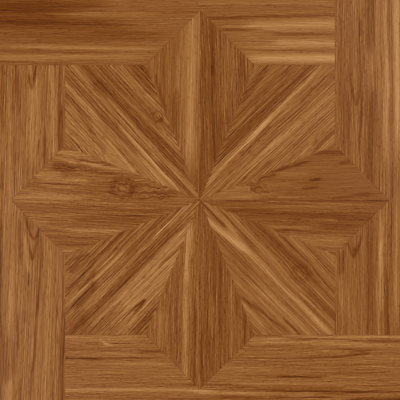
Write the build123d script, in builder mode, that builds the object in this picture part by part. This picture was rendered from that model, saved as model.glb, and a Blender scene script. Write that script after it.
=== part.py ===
"""Star parquet panel: sixteen solid hardwood pieces, tongued and grooved edge to edge.

Four border boards run round the panel as a pinwheel. Each has a V notch, mitred at 45 degrees, that takes
the tip of a star arm. Each star arm is two halves, joined along its axis. A kite fills each corner of the
square field between two arms. North is +Y, and the panel lies face up with its back on Z = 0.
"""

import os

from build123d import *

# Driving dimensions, in millimetres
panel_side = 600.0  # outside of the square panel
border_width = 98.5  # width of a border board
tip_margin = 17.0  # wood left between a star tip and the panel's edge
wear_layer = 8.0  # wood above the grooves, which can be sanded
groove_width = 6.0  # height of every groove, cut by one cutter
back_layer = 6.0  # wood below the grooves
arris = 0.2  # easing of each piece's upper edges

# Tongue and groove between the pieces
tongue_length = 6.0
tongue_nose = 1.0  # chamfer on a tongue's leading edges
tongue_play = 0.1  # between a tongue and each wall of its groove
glue_room = 0.5  # between a tongue's nose and its groove's floor
cutter_runout = 8.0  # by which a groove runs past each end of its tongue

# How far short of a joint's ends its tongue stops
centre_setback = 60.0  # at the panel's centre, where the pieces are thin points
tip_setback = 26.0  # at a star tip
corner_setback = 16.0  # at any other corner

# Groove round the panel's edge, for the loose tongue that joins it to the next panel
edge_groove_depth = 8.0

# Sizes and levels that follow
panel_thickness = back_layer + groove_width + wear_layer
groove_floor = back_layer
groove_depth = tongue_length + glue_room
half_side = panel_side / 2
half_field = half_side - border_width
star_reach = half_side - tip_margin
shoulder = star_reach - half_field  # the mitres run at 45 degrees

# Corners of the north quarter, seen from above. Left and right are as seen from the centre looking out.
centre = (0, 0)
tip = (0, star_reach)
shoulder_left = (-shoulder, half_field)
shoulder_right = (shoulder, half_field)
shoulder_west = (-half_field, shoulder)  # the west arm's right shoulder
field_corner_left = (-half_field, half_field)
field_corner_right = (half_field, half_field)
free_corner = (-half_side, half_side)
free_corner_inner = (-half_side, half_field)
butt_corner = (half_field, half_side)


def prism(*corners):
    """Adds a full-thickness piece with these corners to the part, its upper edges eased."""
    with BuildSketch() as outline:
        with BuildLine():
            Polyline(*corners, close=True)
        make_face()
    blank = extrude(outline.sketch, amount=panel_thickness)
    upper_face = blank.faces().sort_by(Axis.Z)[-1]
    chamfer(upper_face.edges(), length=arris)


def setback(corner):
    """How far short of this corner a tongue stops."""
    if corner == centre:
        return centre_setback
    return tip_setback if corner == tip else corner_setback


def across_edge(start, end, skip):
    """Plane across an edge, that far from its start: X out of the piece, Y up.

    The piece lies on the right of the line from start to end.
    """
    along = Vector(*end) - Vector(*start)
    outward = Vector(-along.Y, along.X)
    return Plane(origin=start, x_dir=outward, z_dir=along).offset(skip)


def tongue(start, end):
    """Adds a stopped tongue to the edge of the part from start to end."""
    skip = setback(start)
    run = (Vector(*end) - Vector(*start)).length - skip - setback(end)
    low = groove_floor + tongue_play
    high = groove_floor + groove_width - tongue_play
    with BuildSketch(across_edge(start, end, skip)) as section:
        with BuildLine():
            Polyline(
                (-tongue_length, low),
                (tongue_length - tongue_nose, low),
                (tongue_length, low + tongue_nose),
                (tongue_length, high - tongue_nose),
                (tongue_length - tongue_nose, high),
                (-tongue_length, high),
                close=True,
            )
        make_face()
    extrude(section.sketch, amount=run)


def cut_groove(start, end, skip, run, depth):
    """Cuts a groove of that depth along the edge of the part, from skip past start."""
    with BuildSketch(across_edge(start, end, skip)) as section:
        with Locations((0, groove_floor + groove_width / 2)):
            Rectangle(2 * depth, groove_width)
    extrude(section.sketch, amount=run, mode=Mode.SUBTRACT)


def groove(start, end):
    """Cuts the stopped groove that takes the neighbour's tongue."""
    skip = setback(start) - cutter_runout
    run = (Vector(*end) - Vector(*start)).length - skip - setback(end) + cutter_runout
    cut_groove(start, end, skip, run, groove_depth)


def through_groove(start, end, depth):
    """Cuts a groove along the whole edge, open at both ends."""
    cut_groove(start, end, 0, (Vector(*end) - Vector(*start)).length, depth)


# Border board: one notched board. Its right end butts against the next board's inner edge.
with BuildPart() as border:
    prism(
        free_corner,
        butt_corner,
        field_corner_right,
        shoulder_right,
        tip,
        shoulder_left,
        free_corner_inner,
    )
    through_groove(free_corner, butt_corner, edge_groove_depth)
    through_groove(free_corner_inner, free_corner, edge_groove_depth)
    through_groove(field_corner_left, free_corner_inner, groove_depth)
    tongue(butt_corner, field_corner_right)
    groove(field_corner_right, shoulder_right)
    groove(shoulder_right, tip)
    groove(tip, shoulder_left)
    groove(shoulder_left, field_corner_left)

# Left half of a star arm, with a tongue on the arm's axis
with BuildPart() as star_left:
    prism(tip, centre, shoulder_left)
    tongue(tip, centre)
    groove(centre, shoulder_left)
    tongue(shoulder_left, tip)

# Right half of a star arm, grooved on the arm's axis
with BuildPart() as star_right:
    prism(tip, shoulder_right, centre)
    groove(centre, tip)
    tongue(tip, shoulder_right)
    groove(shoulder_right, centre)

# Kite in the northwest corner of the field, tongued on all four sides
with BuildPart() as kite:
    prism(field_corner_left, shoulder_left, centre, shoulder_west)
    tongue(field_corner_left, shoulder_left)
    tongue(shoulder_left, centre)
    tongue(centre, shoulder_west)
    tongue(shoulder_west, field_corner_left)

# The four quarters are one set of pieces, turned about the panel's centre.
quarters = ("north", "west", "south", "east")
corners = ("northwest", "southwest", "southeast", "northeast")

os.makedirs("parts", exist_ok=True)
for count, (quarter, corner) in enumerate(zip(quarters, corners)):
    turn = 90 * count
    pieces = {
        f"border_{quarter}": border,
        f"star_{quarter}_left": star_left,
        f"star_{quarter}_right": star_right,
        f"kite_{corner}": kite,
    }
    for name, piece in pieces.items():
        placed = piece.part.rotate(Axis.Z, turn)
        placed.label = name
        export_step(placed, f"parts/{name}.step")
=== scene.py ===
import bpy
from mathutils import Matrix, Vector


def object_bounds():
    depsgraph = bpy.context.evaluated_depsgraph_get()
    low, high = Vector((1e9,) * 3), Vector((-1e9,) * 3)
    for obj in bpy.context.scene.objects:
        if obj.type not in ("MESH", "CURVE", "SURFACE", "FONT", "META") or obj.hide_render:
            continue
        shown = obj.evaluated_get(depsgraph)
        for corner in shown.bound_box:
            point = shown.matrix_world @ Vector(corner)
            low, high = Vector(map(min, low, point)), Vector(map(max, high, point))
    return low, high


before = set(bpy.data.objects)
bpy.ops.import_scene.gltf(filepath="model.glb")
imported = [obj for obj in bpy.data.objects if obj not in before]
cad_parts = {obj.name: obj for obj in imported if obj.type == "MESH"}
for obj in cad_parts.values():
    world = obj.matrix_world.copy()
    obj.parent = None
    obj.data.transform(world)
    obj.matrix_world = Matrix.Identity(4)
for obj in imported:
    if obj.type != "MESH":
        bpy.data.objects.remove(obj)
cad_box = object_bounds()
face_height = cad_box[1].z

import math

import bpy

# Border boards: four boards of flat-sawn teak, each with a V notch for a star tip, glued up as a pinwheel
# with tongues and grooves. Their grain runs along their length, unbroken behind the notch, and the face is
# sanded flush with the rest of the panel and oiled.


def linear(hex_colour):
    """An sRGB hex colour as linear RGBA."""
    channels = [int(hex_colour[i:i + 2], 16) / 255 for i in (1, 3, 5)]
    return [c / 12.92 if c <= 0.04045 else ((c + 0.055) / 1.055) ** 2.4 for c in channels] + [1.0]


def add(tree, kind, inputs, **settings):
    """Adds a node with its settings and gives its outputs. An input is a value or a linked output."""
    node = tree.nodes.new("ShaderNode" + kind)
    for name, value in settings.items():
        setattr(node, name, value)
    for socket, value in inputs.items():
        if isinstance(value, bpy.types.NodeSocket):
            tree.links.new(value, node.inputs[socket])
        else:
            node.inputs[socket].default_value = value
    return node.outputs


def new_group(name, inputs, outputs):
    """A node group of numbers and Grain vectors: its tree, what it is given and its results."""
    tree = bpy.data.node_groups.new(name, "ShaderNodeTree")
    for direction, labels in (("INPUT", inputs), ("OUTPUT", outputs)):
        for label in labels:
            kind = "NodeSocketVector" if label.endswith("Grain") else "NodeSocketFloat"
            tree.interface.new_socket(label, in_out=direction, socket_type=kind)
    return tree, tree.nodes.new("NodeGroupInput").outputs, tree.nodes.new("NodeGroupOutput").inputs


# The grain frame is in millimetres: X along the grain, Y across it, and Z up from the panel's face.
# Tones are levels of lightness from 0 to 255, as in a picture of the face.
# Map Range's sockets go by number: 0 is the value, 1 and 2 its range, and 3 and 4 what that range becomes.
mm = 1000.0  # millimetres in a metre
smooth = {"interpolation_type": "SMOOTHSTEP"}

# A knot is a branch, sawn through. Inside its dark, lumpy edge it has rings of its own and a pale heart, and
# the grain parts round it. Distances are shares of its radius, and shades are shares of its edge's shade.
knot_stretch = 1.1  # a knot is a little longer along the grain
knot_rings = 3  # from its heart to its edge
ring_shade = 0.4
rings_full, rings_end = 0.8, 1.1
heart_shade = -0.8
heart_radius = 0.4
edge_begins, edge_full, edge_fades, edge_ends = 0.6, 0.95, 1.0, 1.5
lump_size = 6.0  # in millimetres
lump_low, lump_high = 0.3, 0.7  # nearly all of the noise lies between these
lump_least, lump_most = 0.75, 1.25  # times the true distance
parting = 0.5  # how strongly the grain gives way
parting_from = 0.8  # nearer in, it gives way no more than here
parting_falloff = -2.0  # the power of the distance with which it dies away
tree, given, result = new_group(
    "knot", ["Grain", "Tone", "Along", "Across", "Radius", "Shade"], ["Grain", "Tone"],
)
knot_group = tree
axes = add(tree, "SeparateXYZ", {0: given["Grain"]})
away = add(tree, "Math", {0: axes["X"], 1: given["Along"]}, operation="SUBTRACT")[0]
away = add(tree, "Math", {0: away, 1: knot_stretch}, operation="DIVIDE")[0]
aside = add(tree, "Math", {0: axes["Y"], 1: given["Across"]}, operation="SUBTRACT")[0]
reach = add(tree, "CombineXYZ", {"X": away, "Y": aside})[0]
reach = add(tree, "VectorMath", {0: reach}, operation="LENGTH")["Value"]
reach = add(tree, "Math", {0: reach, 1: given["Radius"]}, operation="DIVIDE")[0]
parted = add(tree, "Math", {0: reach, 1: parting_from}, operation="MAXIMUM")[0]
parted = add(tree, "Math", {0: parted, 1: parting_falloff}, operation="POWER")[0]
parted = add(tree, "Math", {0: parted, 1: parting, 2: 1.0}, operation="MULTIPLY_ADD")[0]
parted = add(tree, "Math", {0: aside, 1: parted}, operation="DIVIDE")[0]
parted = add(tree, "Math", {0: parted, 1: given["Across"]}, operation="ADD")[0]
parted = add(tree, "CombineXYZ", {"X": axes["X"], "Y": parted, "Z": axes["Z"]})[0]
tree.links.new(parted, result["Grain"])
lumps = add(tree, "TexNoise", {"Vector": given["Grain"], "Scale": 1 / lump_size, "Detail": 1})[0]
lumps = add(tree, "MapRange", {0: lumps, 1: lump_low, 2: lump_high, 3: lump_least, 4: lump_most})[0]
lumpy = add(tree, "Math", {0: lumps, 1: reach}, operation="MULTIPLY")[0]
shade = add(tree, "MapRange", {0: lumpy, 2: heart_radius, 3: heart_shade, 4: 0}, **smooth)[0]
rings = add(tree, "Math", {0: lumpy, 1: 2 * math.pi * knot_rings}, operation="MULTIPLY")[0]
rings = add(tree, "Math", {0: rings}, operation="SINE")[0]
inside = add(tree, "MapRange", {0: lumpy, 1: rings_end, 2: rings_full, 4: ring_shade}, **smooth)[0]
shade = add(tree, "Math", {0: rings, 1: inside, 2: shade}, operation="MULTIPLY_ADD")[0]
inner = add(tree, "MapRange", {0: lumpy, 1: edge_begins, 2: edge_full}, **smooth)[0]
outer = add(tree, "MapRange", {0: lumpy, 1: edge_ends, 2: edge_fades}, **smooth)[0]
shade = add(tree, "Math", {0: inner, 1: outer, 2: shade}, operation="MULTIPLY_ADD")[0]
tone = add(tree, "Math", {0: shade, 1: given["Shade"], 2: given["Tone"]}, operation="MULTIPLY_ADD")[0]
tree.links.new(tone, result["Tone"])

# A burl is a patch where the grain swirls.
swirl_size = 13.0
noise_middle = 0.5
tree, given, result = new_group("burl", ["Grain", "Along", "Across", "Radius", "Swing"], ["Grain"])
burl_group = tree
middle = add(tree, "CombineXYZ", {"X": given["Along"], "Y": given["Across"]})[0]
reach = add(tree, "VectorMath", {0: given["Grain"], 1: middle}, operation="DISTANCE")["Value"]
reach = add(tree, "Math", {0: reach, 1: given["Radius"]}, operation="DIVIDE")[0]
swing = add(tree, "MapRange", {0: reach, 1: 1, 2: 0, 4: given["Swing"]}, **smooth)[0]
swirl = add(tree, "TexNoise", {"Vector": given["Grain"], "Scale": 1 / swirl_size, "Detail": 1})["Color"]
swirl = add(tree, "VectorMath", {0: swirl, 1: [noise_middle] * 3}, operation="SUBTRACT")[0]
swirl = add(tree, "VectorMath", {0: swirl, "Scale": swing}, operation="SCALE")[0]
swirled = add(tree, "VectorMath", {0: swirl, 1: given["Grain"]}, operation="ADD")[0]
tree.links.new(swirled, result["Grain"])


def grain_noise(tree, grain, size, swing):
    """Noise drawn out to this length, breadth and depth, with this swing from its lowest to its highest."""
    cells = [1 / side for side in size]
    spot = add(tree, "VectorMath", {0: grain, 1: cells}, operation="MULTIPLY")[0]
    noise = add(tree, "TexNoise", {"Vector": spot, "Scale": 1, "Detail": 1})[0]
    noise = add(tree, "Math", {0: noise, 1: noise_middle}, operation="SUBTRACT")[0]
    return add(tree, "Math", {0: noise, 1: swing}, operation="MULTIPLY")[0]


# Grain never runs quite straight: it wanders over a hand's breadth. The growth rings slant through the
# thickness, as they do in a flat-sawn board. The edge of a streak is drawn out among the fibres besides.
ring_slant = 0.7  # sideways for each millimetre of depth
wanders = (((260, 90, 90), 6.0), ((90, 30, 30), 1.6), ((26, 12, 12), 1.1))  # the size and swing of each
feather_size = (70, 2.2, 9)
feather_swing = 7.0
tree, given, result = new_group("wandering grain", ["Grain", "Plank"], ["Grain", "Feathered Grain"])
wander_group = tree
axes = add(tree, "SeparateXYZ", {0: given["Grain"]})
across = add(tree, "Math", {0: axes["Z"], 1: ring_slant, 2: axes["Y"]}, operation="MULTIPLY_ADD")[0]
depth = add(tree, "Math", {0: axes["Z"], 1: given["Plank"]}, operation="ADD")[0]
straight = add(tree, "CombineXYZ", {"X": axes["X"], "Y": across, "Z": depth})[0]
for size, swing in wanders:
    sway = grain_noise(tree, straight, size, swing)
    across = add(tree, "Math", {0: across, 1: sway}, operation="ADD")[0]
swayed = add(tree, "CombineXYZ", {"X": axes["X"], "Y": across, "Z": depth})[0]
tree.links.new(swayed, result["Grain"])
sway = grain_noise(tree, swayed, feather_size, feather_swing)
across = add(tree, "Math", {0: across, 1: sway}, operation="ADD")[0]
feathered = add(tree, "CombineXYZ", {"X": axes["X"], "Y": across, "Z": depth})[0]
tree.links.new(feathered, result["Feathered Grain"])

# A streak is one band of early or late wood. It runs from its start to its end, tapers out at both, and
# drifts sideways on the way. One that spreads is an arch: it comes to a point at its start, where the saw cut
# through the top of a growth ring, and its two arms part from there. Its shade is added to the tone under it.
arch_curve = 0.7  # from 0.5 for a round arch to 1 for a straight V
faded_before, faded_after = -0.06, 1.08  # shares of its run where a streak begins to show and has gone
tree, given, result = new_group(
    "streak",
    [
        "Grain", "Tone", "Start", "End", "Offset", "Drift", "Spread", "Half Width", "Shade", "Full From",
        "Full To",
    ],
    ["Tone"],
)
streak_group = tree
axes = add(tree, "SeparateXYZ", {0: given["Grain"]})
passed = add(tree, "MapRange", {0: axes["X"], 1: given["Start"], 2: given["End"]}, clamp=False)[0]
middle = add(tree, "Math", {0: passed, 1: given["Drift"], 2: given["Offset"]}, operation="MULTIPLY_ADD")[0]
aside = add(tree, "Math", {0: axes["Y"], 1: middle}, operation="SUBTRACT")[0]
aside = add(tree, "Math", {0: aside}, operation="ABSOLUTE")[0]
opened = add(tree, "Math", {0: passed, 1: 0.0}, operation="MAXIMUM")[0]
opened = add(tree, "Math", {0: opened, 1: arch_curve}, operation="POWER")[0]
opened = add(tree, "Math", {0: opened, 1: given["Spread"]}, operation="MULTIPLY")[0]
aside = add(tree, "Math", {0: aside, 1: opened}, operation="SUBTRACT")[0]
aside = add(tree, "Math", {0: aside}, operation="ABSOLUTE")[0]
shade = add(tree, "MapRange", {0: aside, 1: given["Half Width"], 2: 0, 4: given["Shade"]}, **smooth)[0]
for faded, full in ((faded_before, given["Full From"]), (faded_after, given["Full To"])):
    taper = add(tree, "MapRange", {0: passed, 1: faded, 2: full}, **smooth)[0]
    shade = add(tree, "Math", {0: shade, 1: taper}, operation="MULTIPLY")[0]
tone = add(tree, "Math", {0: given["Tone"], 1: shade}, operation="ADD")[0]
tree.links.new(tone, result["Tone"])

# Fine figure: the mottle of the plank, growth lines, and fibres with open pores among them, coarse in some
# patches and smooth in others. Each fibre is the wood's own streak with a painted highlight on one side and a
# painted shade on the other, as if lit from one side. The figure goes four times as deep as it is broad, so
# that the ends of the wood show it as rings. Real pores are 0.3 mm wide. They are drawn about 1 mm wide,
# because finer ones wouldn't show.
mottle_size = (150, 22, 88)
mottle_swing = 14
growth_size = (170, 3.2, 12.8)
growth_swing = 28
fibre_width, fibre_depth = 1.7, 6.8
painted_highlight_to_shade = 1.5  # from a fibre's painted highlight to its painted shade
fibres = ((70, 42), (22, 40), (9, 14))  # the length and swing of each kind
patches = (((40, 6, 24), 1.8), ((9, 2.2, 8.8), 3))  # the size of each kind, and its swing in strength
pore_size = (5, 1.4, 5.6)
pore_bottom, pore_edge = -0.24, -0.06  # where they lie in the noise
pore_shade, between_pores = -20, 1.6
relief_low, relief_high = -30, 30  # tones of the fine figure at the bottom and the top of the relief
tree, given, result = new_group("fibres and pores", ["Grain", "Tone", "Texture"], ["Tone", "Relief"])
fibre_group = tree
painted_shade_grain = add(tree, "VectorMath", {0: given["Grain"], 1: (0, painted_highlight_to_shade, 0)}, operation="ADD")[0]
fine = 0.0
# Each fibre is added, then taken away again a step across the grain: a painted highlight on one side of it
# and a painted shade on the other.
for length, swing in fibres:
    painted_highlight_fibres = grain_noise(tree, given["Grain"], (length, fibre_width, fibre_depth), swing)
    painted_shade_fibres = grain_noise(tree, painted_shade_grain, (length, fibre_width, fibre_depth), swing)
    fine = add(tree, "Math", {0: fine, 1: painted_highlight_fibres}, operation="ADD")[0]
    fine = add(tree, "Math", {0: fine, 1: painted_shade_fibres}, operation="SUBTRACT")[0]
strength = 1.0
for size, swing in patches:
    patch = grain_noise(tree, given["Grain"], size, swing)
    strength = add(tree, "Math", {0: strength, 1: patch}, operation="ADD")[0]
fine = add(tree, "Math", {0: fine, 1: strength}, operation="MULTIPLY")[0]
pores = grain_noise(tree, given["Grain"], pore_size, 1)
pores = add(tree, "MapRange", {0: pores, 1: pore_bottom, 2: pore_edge, 3: pore_shade, 4: between_pores})[0]
fine = add(tree, "Math", {0: fine, 1: pores}, operation="ADD")[0]
growth = grain_noise(tree, given["Grain"], growth_size, growth_swing)
fine = add(tree, "Math", {0: fine, 1: growth}, operation="ADD")[0]
fine = add(tree, "Math", {0: fine, 1: given["Texture"]}, operation="MULTIPLY")[0]
mottle = grain_noise(tree, given["Grain"], mottle_size, mottle_swing)
tone = add(tree, "Math", {0: given["Tone"], 1: mottle}, operation="ADD")[0]
tone = add(tree, "Math", {0: tone, 1: fine}, operation="ADD")[0]
tree.links.new(tone, result["Tone"])
relief = add(tree, "MapRange", {0: fine, 1: relief_low, 2: relief_high})[0]
tree.links.new(relief, result["Relief"])

plank_start = 183.0  # where in the noise the planks begin
plank_spacing = 61.0  # keeps their grain apart
streak_fades = (0.2, 0.8)  # shares of its run where a streak has come in fully and where it begins to go
arch_fades = (0.06, 0.2)
teak_tones = {
    40: "#4F1C00",
    62: "#693200",
    79: "#7C4312",
    99: "#905827",
    112: "#9E6733",
    128: "#AE7742",
    175: "#D49F65",
}
darkest_tone, lightest_tone = min(teak_tones), max(teak_tones)
end_grain_shade = -16.0  # end grain drinks in light
raw_wood = {"Hue": 0.512, "Saturation": 0.78, "Value": 1.35}  # a little yellower, duller and paler
oiled_above = 0.5  # surfaces that point up by more than this are oiled
pore_roughness, ridge_roughness = 0.46, 0.32
raw_roughness = 0.35  # what raw wood has more than oiled wood
oil_specular = 0.15  # the oil has soaked in, and leaves hardly a film
pore_depth = 0.0001  # in metres
relief_strength = 0.5


def oiled_teak(piece, plank, heading, tone, texture, streaks, lean=0, run=1, arches=(), knots=(), burls=()):
    """Teak, sanded and oiled on the face and raw on the sides and back: warm brown, satin, with dark pores.

    Plank numbers the plank that the piece was cut from. Heading is the direction of the piece's axis in
    degrees from +X, lean is how far its fibres turn off the axis, and run is how many times longer than usual
    they are. A streak is its start along and across the grain, its end along and across, its half width and
    its shade. An arch is its point along and across, the end of its arms along and their distance from the
    middle there, its half width and its shade. A knot is its place along and across, its radius and its
    shade, and a burl its place, its radius and its swing.
    """
    material = bpy.data.materials.new("oiled_teak_" + piece)
    material.use_nodes = True
    tree = material.node_tree
    shader = tree.nodes["Principled BSDF"]
    turn = math.radians(heading)
    place = add(tree, "TexCoord", {})["Object"]
    to_grain = {"Location": (0, 0, -mm * face_height), "Rotation": (0, 0, -turn), "Scale": (mm, mm, mm)}
    grain = add(tree, "Mapping", {"Vector": place, **to_grain})[0]
    for along, across, radius, shade in knots:
        spot = {"Along": along, "Across": across, "Radius": radius, "Shade": shade}
        knot = add(tree, "Group", {"Grain": grain, "Tone": tone, **spot}, node_tree=knot_group)
        grain, tone = knot["Grain"], knot["Tone"]
    for along, across, radius, swing in burls:
        spot = {"Along": along, "Across": across, "Radius": radius, "Swing": swing}
        grain = add(tree, "Group", {"Grain": grain, **spot}, node_tree=burl_group)["Grain"]
    depth = plank_start + plank_spacing * plank
    wander = add(tree, "Group", {"Grain": grain, "Plank": depth}, node_tree=wander_group)
    lines = [
        ("Feathered Grain", start, end, offset, end_offset - offset, 0, half_width, shade, *streak_fades)
        for start, offset, end, end_offset, half_width, shade in streaks
    ] + [
        ("Grain", point, end, offset, 0, spread, half_width, shade, *arch_fades)
        for point, offset, end, spread, half_width, shade in arches
    ]
    for edge, start, end, offset, drift, spread, half_width, shade, full_from, full_to in lines:
        band = {
            "Grain": wander[edge], "Tone": tone, "Start": start, "End": end, "Offset": offset,
            "Drift": drift, "Spread": spread, "Half Width": half_width, "Shade": shade,
            "Full From": full_from, "Full To": full_to,
        }
        tone = add(tree, "Group", band, node_tree=streak_group)["Tone"]
    leaning = {"Vector": wander["Grain"], "Rotation": (0, 0, math.radians(lean)), "Scale": (run, 1, 1)}
    grain = add(tree, "Mapping", leaning, vector_type="TEXTURE")[0]
    figure = add(tree, "Group", {"Grain": grain, "Tone": tone, "Texture": texture}, node_tree=fibre_group)
    normal = add(tree, "NewGeometry", {})["True Normal"]
    end_facing = (math.cos(turn), math.sin(turn), 0)
    ended = add(tree, "VectorMath", {0: normal, 1: end_facing}, operation="DOT_PRODUCT")["Value"]
    ended = add(tree, "Math", {0: ended}, operation="ABSOLUTE")[0]
    tone = add(tree, "Math", {0: ended, 1: end_grain_shade, 2: figure["Tone"]}, operation="MULTIPLY_ADD")[0]
    level = add(tree, "MapRange", {0: tone, 1: darkest_tone, 2: lightest_tone})[0]
    colour = add(tree, "ValToRGB", {"Fac": level})["Color"]
    stops = colour.node.color_ramp.elements
    stops.remove(stops[-1])
    for lightness, hex_colour in teak_tones.items():
        position = (lightness - darkest_tone) / (lightest_tone - darkest_tone)
        stop = stops[0] if lightness == darkest_tone else stops.new(position)
        stop.color = linear(hex_colour)
    upward = add(tree, "SeparateXYZ", {0: normal})["Z"]
    raw = add(tree, "Math", {0: upward, 1: oiled_above}, operation="LESS_THAN")[0]
    colour = add(tree, "HueSaturation", {"Fac": raw, "Color": colour, **raw_wood})[0]
    tree.links.new(colour, shader.inputs["Base Color"])
    gloss = add(tree, "MapRange", {0: figure["Relief"], 3: pore_roughness, 4: ridge_roughness})[0]
    gloss = add(tree, "Math", {0: raw, 1: raw_roughness, 2: gloss}, operation="MULTIPLY_ADD")[0]
    tree.links.new(gloss, shader.inputs["Roughness"])
    shader.inputs["Specular IOR Level"].default_value = oil_specular
    relief = {"Height": figure["Relief"], "Distance": pore_depth, "Strength": relief_strength}
    bump = add(tree, "Bump", relief)[0]
    tree.links.new(bump, shader.inputs["Normal"])
    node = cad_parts[piece]
    node.data.materials.clear()
    node.data.materials.append(material)


oiled_teak(
    "border_north", plank=1, heading=0, tone=97.5, texture=0.75, run=1.3,
    streaks=[
        (40, 245, 260, 240, 60, 7), (-430, 272, -180, 278, 32, -16), (-400, 264, -90, 262, 18, -19),
        (-380, 290, -130, 291, 14, -24), (-330, 243, -50, 243, 12, -12), (60, 259, 235, 263, 12, 30),
        (60, 212, 260, 212, 11, 49), (100, 234, 235, 234, 9, 30), (-330, 214, -60, 213, 7, 20),
        (-420, 282, -230, 281, 5, -8), (-360, 280, -190, 283, 5, -7), (-215, 277.5, -70, 278, 5, 14),
        (-170, 250, -40, 248, 5, -12), (-30, 295, 220, 294, 5, 12), (-300, 230, -50, 225, 4.5, 26),
        (-330, 268, -120, 265, 4, -9), (60, 228, 200, 228, 4, 12), (95, 247, 230, 247, 4, -20),
        (0, 270, 100, 273, 3.5, -26), (80, 274, 230, 276.5, 3.5, -23), (-330, 223, -120, 221, 3, -11),
        (-190, 264, -95, 263, 3, -9), (28, 253.5, 95, 253, 3, -27), (30, 258.5, 90, 258, 3, 16),
        (-330, 206.5, -130, 207, 2.5, -11),
    ],
)
oiled_teak(
    "border_west", plank=2, heading=90, tone=103.8, texture=1.2, lean=-2, run=2,
    arches=[(-90, 250.5, -40, 9, 3.4, -34), (-60, 248, 4, 20, 3.4, -31), (165, 251.5, 225, 9, 3.4, -33)],
    streaks=[
        (50, 250, 190, 250, 18, 19), (-340, 286, -265, 285, 8, 19), (-280, 291, -200, 290, 8, -20),
        (-170, 243, -40, 238, 8, -15), (-350, 205.5, -200, 204.5, 6, -30), (-265, 279, -205, 280, 6, -15),
        (-200, 283, -80, 281, 6, 15), (-45, 253, -25, 256, 6, -14), (100, 294, 230, 292, 6, -14),
        (150, 276, 230, 275, 6, -16), (184, 255.5, 225, 257, 6, 27), (-330, 235, -70, 221, 5, 12),
        (-112, 258, -50, 261, 5, 24), (60, 219.5, 180, 219.5, 4.5, 24), (-330, 298, -60, 298, 4, -19),
        (-330, 268.5, -270, 269, 4, -14), (10, 296, 60, 295, 4, -16), (125, 271, 190, 271.5, 4, -19),
        (140, 243, 210, 242, 4, 11), (-240, 203.5, -110, 203, 3.5, -19), (-95, 268.5, -25, 271, 3.5, -20),
        (45, 231, 110, 231, 3.5, -23), (60, 210.5, 235, 209.5, 3.5, -27), (-330, 256.5, -70, 235, 3, -30),
        (-330, 217, -255, 217, 3, -18), (-230, 272.5, -165, 272.5, 3, -24),
        (-225, 213, -135, 213.5, 3, -15), (-195, 208, -90, 207.5, 3, 12), (-76, 253, -52, 254, 3, 16),
        (-50, 285, 170, 285, 3, 15), (0, 279.5, 200, 279, 3, -18), (165, 222.5, 230, 222.5, 3, 19),
        (176, 250, 205, 245.5, 3, -22), (65, 206.5, 150, 206.5, 2.5, -22), (66, 241, 92, 241, 2.4, -30),
        (-220, 297, -10, 298, 5, -18), (90, 298, 240, 297, 4, -12), (-186, 263, -164, 262, 2.8, -26),
        (-130, 257.5, -106, 257, 3, -24),
    ],
)
oiled_teak(
    "border_south", plank=3, heading=180, tone=102, texture=1,
    arches=[(-254, 228, -190, 7, 3, -24)],
    streaks=[
        (-250, 212, -70, 210.5, 5, 17), (-110, 250.5, -20, 250.5, 5, 12), (85, 206, 235, 205.5, 5, 18),
        (-310, 218, -170, 216, 4.5, 20), (110, 284, 230, 283.5, 4.5, 25),
        (-320, 297.5, -215, 297.5, 4, -48), (-248, 228, -222, 228, 4, -13), (-220, 281, -30, 279.5, 4, -18),
        (-30, 286, 130, 283.5, 4, 30), (45, 245, 130, 244.5, 4, 16), (90, 229.5, 180, 229.5, 4, 10),
        (140, 237.5, 240, 237, 3.6, -27), (-330, 204, -130, 204, 3.5, 27),
        (-290, 259.5, -190, 259, 3.5, -13), (-180, 290, -60, 289, 3.5, 18), (-80, 288.5, 20, 287, 3.5, 27),
        (-320, 285.5, -80, 284.5, 3.2, -43), (-320, 277, -250, 277, 3, -20), (-310, 273, 60, 272.5, 3, 9),
        (-150, 298, 130, 297.5, 3, -13), (-130, 294.5, -20, 294.5, 3, -21),
        (-130, 206.5, -60, 206.5, 3, 18), (-80, 276.5, 30, 275.5, 3, -21), (45, 225.5, 95, 224.5, 3, -20),
        (60, 236.5, 240, 236.5, 3, -22), (105, 222, 230, 222, 3, -16), (105, 214.5, 132, 214, 3, -12),
        (130, 217.5, 146, 213, 3, 30), (140, 213, 152, 208, 3, 21), (150, 214.5, 172, 215, 3, -13),
        (-300, 245.5, -190, 247, 2.8, -27), (-190, 263.5, -112, 262.5, 2.2, -42),
        (-310, 211.5, -245, 210.5, 2.6, -25), (-240, 232, -140, 234.5, 2.6, -26),
        (-200, 294, -110, 293.5, 2.6, -43), (-120, 262, -60, 261.5, 2.5, -16),
        (-250, 210, -130, 206.5, 2.4, -21), (-150, 235, 0, 238, 2.4, -12),
    ],
)
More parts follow.
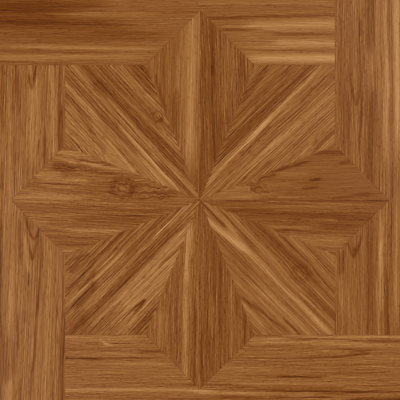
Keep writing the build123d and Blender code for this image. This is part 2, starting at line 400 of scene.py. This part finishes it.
oiled_teak(
    "border_east", plank=4, heading=270, tone=99, texture=1, run=1.3,
    arches=[(-141, 231, -225, 13, 3.4, -24), (85, 229, 30, 18, 3.6, -26), (78, 229, 45, 7, 3, -12)],
    streaks=[
        (-190, 254, 10, 252, 12, -19), (20, 253, 240, 254, 11, -16), (-225, 250, -150, 252, 9, 12),
        (-400, 294, -60, 295, 8, 46), (-340, 277.5, -50, 276.5, 8, 27), (-340, 265, -130, 266, 6, 12),
        (70, 230, 88, 229.5, 6, -18), (-330, 251, -220, 251, 5, -18), (-225, 256.5, -160, 257, 5, 16),
        (10, 270, 170, 269.5, 5, 32), (115, 209, 165, 212, 5, 15), (150, 229, 235, 232, 5, 12),
        (-10, 294, 190, 294.5, 4.5, 22), (-210, 281.5, -150, 281.5, 4, 14), (-165, 214, -60, 214, 4, -12),
        (70, 213, 112, 213, 4, -22), (75, 207, 112, 207, 4, -20), (120, 267, 240, 266.5, 4, 16),
        (120, 221, 180, 220, 4, 12), (-320, 258, -225, 258, 3.5, -23), (-165, 220.5, -55, 220, 3.5, -22),
        (-60, 285, 120, 285.5, 3.5, -24), (10, 276, 75, 275, 3.5, 11), (60, 270, 120, 269.5, 3.5, 16),
        (95, 278.5, 235, 278.5, 3.5, -20), (-330, 242.5, -285, 242.5, 3, 14),
        (-290, 237.5, -180, 237, 3, -14), (-170, 241.5, -70, 235, 3, -30), (110, 281.5, 240, 281.5, 3, -24),
        (-270, 239.5, -243, 239, 2.4, -27),
    ],
)

# Star halves: each arm of the star is two narrow triangles of teak, one lighter and one darker, joined along
# the arm's axis by a stopped tongue. Their grain runs along the arm to the panel's centre.
oiled_teak(
    "star_north_left", plank=5, heading=90, tone=95.4, texture=0.9, lean=-1, run=1.3,
    streaks=[
        (40, 16, 300, 16, 24, 15), (80, 34, 165, 38, 9, -6), (0, 5, 50, 5, 8, -12),
        (50, 14, 300, 11, 8, 21), (130, 50, 190, 68, 5, -20), (150, 24, 270, 25, 5, 7),
        (45, 17.5, 110, 18, 4, 10), (95, 38, 160, 40, 4, -11), (150, 53, 235, 53, 4, -9),
        (160, 33, 220, 33, 4, 21), (160, 46.5, 235, 48, 4, 9), (170, 71, 215, 72, 4, 10),
        (195, 2.5, 290, 3, 4, 12), (95, 6.5, 155, 6, 3, -11),
    ],
)
oiled_teak(
    "star_north_right", plank=6, heading=90, tone=86.8, texture=1.15, lean=2, run=1.3,
    streaks=[
        (120, -42, 250, -42, 20, 9), (65, -27, 130, -31, 6, -9), (10, -5, 290, -5, 5, -5),
        (50, -18, 290, -18.5, 5, -15), (140, -17, 225, -17, 5, -9), (185, -74, 210, -74, 5, 12),
        (35, -13.5, 135, -13.5, 4, 11), (50, -21, 130, -21, 4, -11), (155, -60, 220, -60, 4, -12),
        (185, -17.5, 202, -18, 4, -16), (110, -42, 165, -42, 3, -12), (175, -69, 210, -64, 3, -11),
        (125, -48, 165, -48, 2.5, -10),
    ],
)
oiled_teak(
    "star_west_left", plank=7, heading=180, tone=95.6, texture=1.05, lean=-3,
    streaks=[
        (70, 28, 190, 28, 9, -12), (175, 76, 215, 76, 5, 25), (225, 35, 265, 33, 5, 13),
        (110, 46, 205, 43.5, 4, 24), (125, 50, 185, 51, 4, 10), (160, 66, 220, 66, 4, -13),
        (190, 42, 250, 37, 4, 10), (190, 2.5, 290, 2.5, 4, 17), (30, 3, 200, 3, 3, 8),
        (35, 15, 210, 14.5, 3, -13), (50, 18, 90, 18.5, 3, -13), (165, 30, 225, 30, 3, -13),
        (200, 12.5, 290, 11.5, 3, -14), (65, 24, 170, 24, 2.6, -10), (80, 33, 160, 33.5, 2.6, -10),
        (150, 57, 190, 57, 2.5, -10),
    ],
)
oiled_teak(
    "star_west_right", plank=8, heading=180, tone=99.6, texture=1.15, lean=-4,
    knots=[(116, -17.5, 13.5, -18)],
    burls=[(68, -12, 48, 13), (185, -45, 60, 8)],
    streaks=[
        (30, -14, 110, -16, 16, -5), (85, -24, 140, -24, 14, -7), (150, -65, 220, -72, 10, 20),
        (186, -48.5, 222, -49.5, 13, -30), (165, -4, 290, -5, 7, 22), (205, -39, 250, -38, 7, 24),
        (120, -37, 198, -50, 5, -21), (130, -15, 215, -15, 5, -7), (165, -30, 240, -31, 4.5, 18),
        (30, -11, 80, -11, 2.5, -28), (40, -6, 98, -6, 2.4, -26), (45, -20, 100, -22, 2.6, -28),
        (55, -14.5, 105, -15, 2.4, -26), (40, -17, 95, -18, 2.2, 20),
        (35, -8.5, 90, -8.5, 2.2, 20), (110, -43, 220, -64, 4, 29), (205, -8, 265, -9, 4, 13),
        (185, -20.5, 230, -20.5, 3.5, 16), (120, -27.5, 165, -27.5, 3, -13), (125, -50, 185, -61, 3, -24),
        (175, -25, 235, -25, 2.4, -32), (180, -65.5, 215, -68, 2.2, -11),
    ],
)
oiled_teak(
    "star_south_left", plank=9, heading=270, tone=85.6, texture=1,
    streaks=[
        (100, 50, 250, 48, 22, 6), (80, 31, 215, 31, 5, -12), (120, 47, 190, 46, 5, 12),
        (135, 55, 175, 55, 4, -11), (172, 72, 212, 72, 4, 17), (175, 58, 235, 57, 4, 12),
        (185, 45, 240, 45, 4, 12), (15, 2.5, 160, 2.5, 3.5, 10), (50, 21, 160, 21, 3.5, -13),
        (140, 16, 200, 17.5, 3.5, 12), (165, 66, 222, 66, 3.5, -18), (150, 24, 250, 24, 3, 11),
        (180, 3.5, 275, 3.5, 3, -20), (200, 12, 250, 12, 3, -11),
    ],
)
oiled_teak(
    "star_south_right", plank=10, heading=270, tone=94.5, texture=1.1, lean=-2.5,
    streaks=[
        (30, -16, 130, -19.5, 8, 44), (110, -20, 300, -23, 7, 33), (100, -34, 215, -34.5, 5, -9),
        (165, -57, 220, -63, 5, 18), (30, -11, 85, -11, 4, 17), (140, -7, 290, -9, 4, -22),
        (150, -44.5, 235, -44, 4, -11), (160, -48.5, 220, -53, 4, 16), (165, -64, 195, -67, 4, 12),
        (100, -2.5, 290, -3.5, 3, 16), (115, -12, 175, -12.5, 3, 12),
    ],
)
oiled_teak(
    "star_east_left", plank=11, heading=0, tone=92.7, texture=0.58, lean=1,
    burls=[(86, 18, 36, 28), (170, 25, 24, 7)],
    arches=[
        (70, 23, 106, 14, 1.9, -30), (76, 21, 104, 8, 1.7, -24), (103, 13, 74, 8, 1.9, -28),
        (66, 24, 104, 19, 1.8, 15), (84, 8, 120, 5, 1.6, 15),
    ],
    streaks=[
        (5, 8, 110, 12, 16, 15), (115, 38, 165, 40, 7, 10), (165, 69, 225, 70, 7, -20),
        (84, 31, 114, 39, 3.4, -26), (40, 6, 90, 5, 2.5, 14),
        (70, 9, 130, 8, 2.5, 14), (95, 4.5, 150, 5, 2.2, 12), (60, 12, 110, 12, 2.2, -14),
        (50, 19, 75, 20, 5, 13),
        (207, 55, 230, 58, 5, -24), (195, 2, 260, 10, 4.5, -18), (95, 24, 140, 24, 4, 11),
        (162, 30, 181, 30.5, 4.5, -34), (170, 32, 187, 31, 2.6, -26), (103, 41, 165, 58, 3.4, -33),
        (95, 3, 118, 4, 3, -17),
        (152, 18, 180, 18.5, 3.2, -34),
    ],
)
oiled_teak(
    "star_east_right", plank=12, heading=0, tone=89.4, texture=0.85, lean=-2.5,
    streaks=[
        (120, -62, 225, -64, 18, 22), (200, -29, 265, -30, 7, -22), (50, -22, 290, -22, 6, -14),
        (90, -8.5, 285, -8, 4, 12), (130, -27, 215, -26, 4, -15), (180, -37, 245, -39, 4, -15),
        (35, -15, 115, -15, 3.5, -18), (95, -40, 170, -43.5, 3.5, 18), (95, -36, 150, -37, 3, -18),
        (20, -0.5, 290, -0.5, 2, -19), (150, -2.5, 290, -2.5, 3, -14), (185, -42, 235, -42, 3, -15),
        (110, -45, 150, -46, 2.6, -18),
        (165, -50.5, 205, -51, 2.5, -15), (140, -48, 175, -49.5, 2.4, -14),
    ],
)

# Kites: four pieces of boldly figured teak that fill the corners between the arms, tongued on all four sides.
# Their grain runs along the diagonal, from the panel's centre to the corner of the square field.
oiled_teak(
    "kite_northwest", plank=13, heading=135, tone=102.5, texture=1.4, lean=-2.5, run=1.8,
    knots=[(133, -44, 7, -17)],
    burls=[(178, 58, 24, 10)],
    streaks=[
        (20, 45, 260, 42, 44, 13), (145, -76, 240, -78, 17, -26), (30, -19, 300, -17, 15, -20),
        (110, -37, 270, -37, 12, -16), (212, -15, 238, -16, 9, -8), (90, 16, 300, 9, 8, -18),
        (0, 3, 90, 4.5, 6, -26), (90, 41, 165, 39, 6, 11), (180, 22, 285, 19, 6, 17),
        (235, -10, 295, -10, 6, 26), (25, 13, 165, 8, 5, 36), (45, 22, 115, 20, 5, 17),
        (115, 52, 155, 54, 5, 11), (124, -50.5, 227, -51.5, 2.6, 14), (150, 48.5, 220, 41, 5, -23),
        (150, -64, 210, -68, 5, -14), (160, 70, 210, 73, 4.5, -8), (195, 33, 260, 32, 4.5, -23),
        (70, -28, 200, -30, 4, 18), (85, -8.5, 215, -9.5, 4, 22), (185, 40, 235, 35, 4, -16),
        (10, -5, 75, -7, 3.5, 23), (80, 34, 150, 33, 3.5, -22), (135, 18.5, 205, 17.5, 3.5, -18),
        (20, -9.5, 75, -10.5, 3, -13), (95, 4, 135, 2, 3, -16),
    ],
)
oiled_teak(
    "kite_southwest", plank=14, heading=225, tone=99.9, texture=1.55, run=1.8,
    burls=[(190, -60, 24, 6)],
    arches=[(164, 47.5, 240, 9, 3.2, -32), (162, 47.5, 190, 2, 2.6, -30)],
    streaks=[
        (10, 34, 225, 36, 34, 27), (240, 5, 300, 5, 30, -11), (90, -50, 220, -60, 26, -9),
        (30, 2, 300, 3, 9, -18), (172, -60, 215, -64, 9, -19), (192, -19.5, 250, -20, 8, -29),
        (150, 67, 215, 67, 7, -16), (40, -19.5, 150, -20, 6, -25), (185, 50, 235, 55, 6, 8),
        (130, -26, 200, -27, 5, 26), (170, 73, 215, 75, 5, -27), (183, -34.5, 225, -35, 5, -26),
        (190, 34.5, 250, 33, 5, -18), (195, -25, 250, -24, 5, -13), (30, 15, 180, 15.5, 4.5, 18),
        (163, 47.5, 240, 41, 4, -14), (105, -47.5, 175, -48, 4, -21), (135, -6, 245, -6, 4, 15),
        (150, -16, 195, -16, 4, -15), (165, 19, 255, 17, 4, 22), (170, -45.5, 240, -44.5, 4, -26),
        (205, -30, 255, -31, 4, 22), (60, 27.5, 115, 27, 3.5, -26), (170, -11, 235, -12, 3.5, 15),
        (180, -66, 212, -73, 3.5, -15), (190, 24, 265, 23, 3.5, -22), (10, -6.5, 65, -6, 3, 26),
        (20, -10, 90, -10, 3, 20), (45, -3, 150, -3, 3, -15), (95, -39.5, 155, -39, 3, -15),
        (105, -33.5, 150, -34, 3, -15), (160, 39, 240, 38.5, 3, 15), (185, -49, 220, -48.5, 3, 20),
        (190, 57, 222, 57.5, 3, 20), (135, 55, 190, 56, 2.5, -16), (30, 7.8, 200, 7, 2.4, -32),
        (25, -8.2, 90, -8.5, 2, -21),
    ],
)
oiled_teak(
    "kite_southeast", plank=15, heading=315, tone=102.3, texture=1.05, lean=-1, run=1.8,
    knots=[(184, 27.5, 11.5, -10)],
    streaks=[
        (45, 32, 215, 32, 20, -22), (200, 18, 300, 19, 11, -22), (35, -19, 140, -20, 9, -15),
        (12, -14, 108, -4, 6.5, 38), (155, 64, 225, 64, 8, -11), (150, -26, 285, -25, 7, 18),
        (50, -3.5, 300, -3, 6, 35), (35, 16, 160, 16, 5, 9), (115, -48, 165, -49, 5, 13),
        (145, -56.5, 185, -53, 5, -9), (150, -63, 205, -67, 5, 22), (140, -58, 245, -44, 4.5, -21),
        (0, -1, 60, -1.5, 4, -32), (15, 5.5, 80, 5.5, 4, 21), (25, 9.5, 115, 9, 4, -19),
        (50, 2.5, 165, 2.5, 4, 13), (130, 56, 185, 56, 4, 9), (140, -33, 240, -33, 4, 13),
        (165, -40.5, 250, -40, 4, 15), (185, 79, 210, 79, 4, 15), (85, 6, 290, 5, 3.5, -16),
        (75, -31, 135, -31, 3, -10), (115, 48, 190, 48, 3, -19), (165, 9.5, 290, 9, 3, 10),
        (185, 46, 245, 44.5, 3, -21), (200, 36, 260, 35.5, 3, -16), (212, -36.5, 258, -37, 2.6, -32),
        (95, -38.5, 135, -38, 2.2, -14), (85, -28, 155, -28, 2, -16),
    ],
)
oiled_teak(
    "kite_northeast", plank=16, heading=45, tone=102.1, texture=1.4, lean=-2, run=2.2,
    streaks=[
        (60, 52, 260, 52, 32, -10), (40, -20, 280, -26, 18, 12), (35, 25, 280, 26, 13, -20),
        (10, 9.5, 165, 11.5, 5, 37), (135, 60, 228, 75, 10, -24), (115, 12, 285, 13.5, 4.8, 33),
        (175, -75, 215, -75, 5, 12), (95, 40.5, 250, 40, 4, 7), (125, -52, 175, -53, 4, -10),
        (170, -68, 220, -69.5, 4, -23), (80, -17.5, 150, -19.5, 3.5, 14), (200, -2.5, 300, -2.5, 3.5, -23),
        (35, -14.5, 80, -15, 3, 13), (65, -30.5, 120, -34, 3, -20), (95, -34.5, 165, -37, 3, -16),
        (120, -20.5, 195, -22.5, 3, 19), (150, -60, 180, -60, 3, 18), (155, -40.5, 225, -43.5, 3, -13),
        (170, 3, 290, 3, 3, 11), (200, -38.5, 250, -39, 3, 11), (205, 5.5, 290, 5.5, 3, -13),
        (80, 36, 250, 36, 2.6, -16), (105, 45, 240, 45, 2.6, -16), (50, -23.5, 110, -24.5, 2.5, -14),
        (115, 33, 190, 33, 2.5, 16), (174, -60.5, 190, -60.5, 2.5, -17), (185, -6, 240, -6, 2.5, 13),
        (190, 30, 250, 30, 2.5, 16), (215, -33, 255, -33.5, 2.5, -17), (60, 6, 230, 7, 2.2, -22),
        (95, 3.2, 155, 3.5, 2.4, -20),
        (125, 51, 235, 51, 2.4, -11), (125, -9.2, 220, -9.5, 2.2, -13),
    ],
)

# Studio: a plain pale floor under the panel, two soft boxes at its sides, too low to show in the face from
# above and too high to show in it from the side, and a surround that looks pale but gives little light. The
# camera looks straight down.
floor_radius = 2.6  # where the light on it has fallen to the level of the surround
floor_drop = 0.0005  # keeps it clear of the panel's back
floor_sides = 128
bpy.ops.mesh.primitive_circle_add(
    vertices=floor_sides, radius=floor_radius, fill_type="NGON", location=(0, 0, -floor_drop),
)
floor = bpy.context.object
floor.name = "floor"
# Board, painted matt: even and pale, with no reflections.
floor_material = bpy.data.materials.new("matt_painted_board")
floor_material.use_nodes = True
floor_shader = floor_material.node_tree.nodes["Principled BSDF"]
floor_shader.inputs["Base Color"].default_value = linear("#E4E1DC")
floor_shader.inputs["Roughness"].default_value = 0.8
floor.data.materials.append(floor_material)

lamp_distance = 3.2
lamp_tilt = math.radians(42)  # from straight overhead
lamp_bearings = (math.radians(20), math.radians(200))
lamp_side = 1.4
lamp_power = 64.8
lamp_reach = lamp_distance * math.sin(lamp_tilt)
lamp_height = lamp_distance * math.cos(lamp_tilt)
for bearing in lamp_bearings:
    lamp = bpy.data.lights.new("soft_box", "AREA")
    lamp.size = lamp_side
    lamp.energy = lamp_power
    soft_box = bpy.data.objects.new("soft_box", lamp)
    soft_box.location = (lamp_reach * math.cos(bearing), lamp_reach * math.sin(bearing), lamp_height)
    soft_box.rotation_euler = (0, lamp_tilt, bearing)
    bpy.context.collection.objects.link(soft_box)

surround_light = 0.05  # the strength of the light that it gives
surround_seen = 0.45  # how pale it looks, straight or in the gloss
world = bpy.data.worlds.new("studio")
world.use_nodes = True
surround = world.node_tree
background = surround.nodes["Background"]
background.inputs["Color"].default_value = linear("#FFFFFF")
rays = add(surround, "LightPath", {})
seen = add(surround, "Math", {0: rays["Is Camera Ray"], 1: rays["Is Glossy Ray"]}, operation="MAXIMUM")[0]
seen = add(surround, "Math", {0: seen, 1: rays["Is Transmission Ray"]}, operation="MAXIMUM")[0]
strength = add(surround, "MapRange", {0: seen, 3: surround_light, 4: surround_seen})[0]
surround.links.new(strength, background.inputs["Strength"])
bpy.context.scene.world = world

half_side = cad_box[1].x
in_frame = 0.996  # share of the face in the frame, so that no floor shows at its edges
camera = bpy.data.cameras.new("camera")
camera.lens = 85
distance = half_side * in_frame / (camera.sensor_width / 2 / camera.lens)
view = bpy.data.objects.new("camera", camera)
view.location = (0, 0, face_height + distance)
bpy.context.collection.objects.link(view)
bpy.context.scene.camera = view
bpy.context.scene.view_settings.view_transform = "Standard"
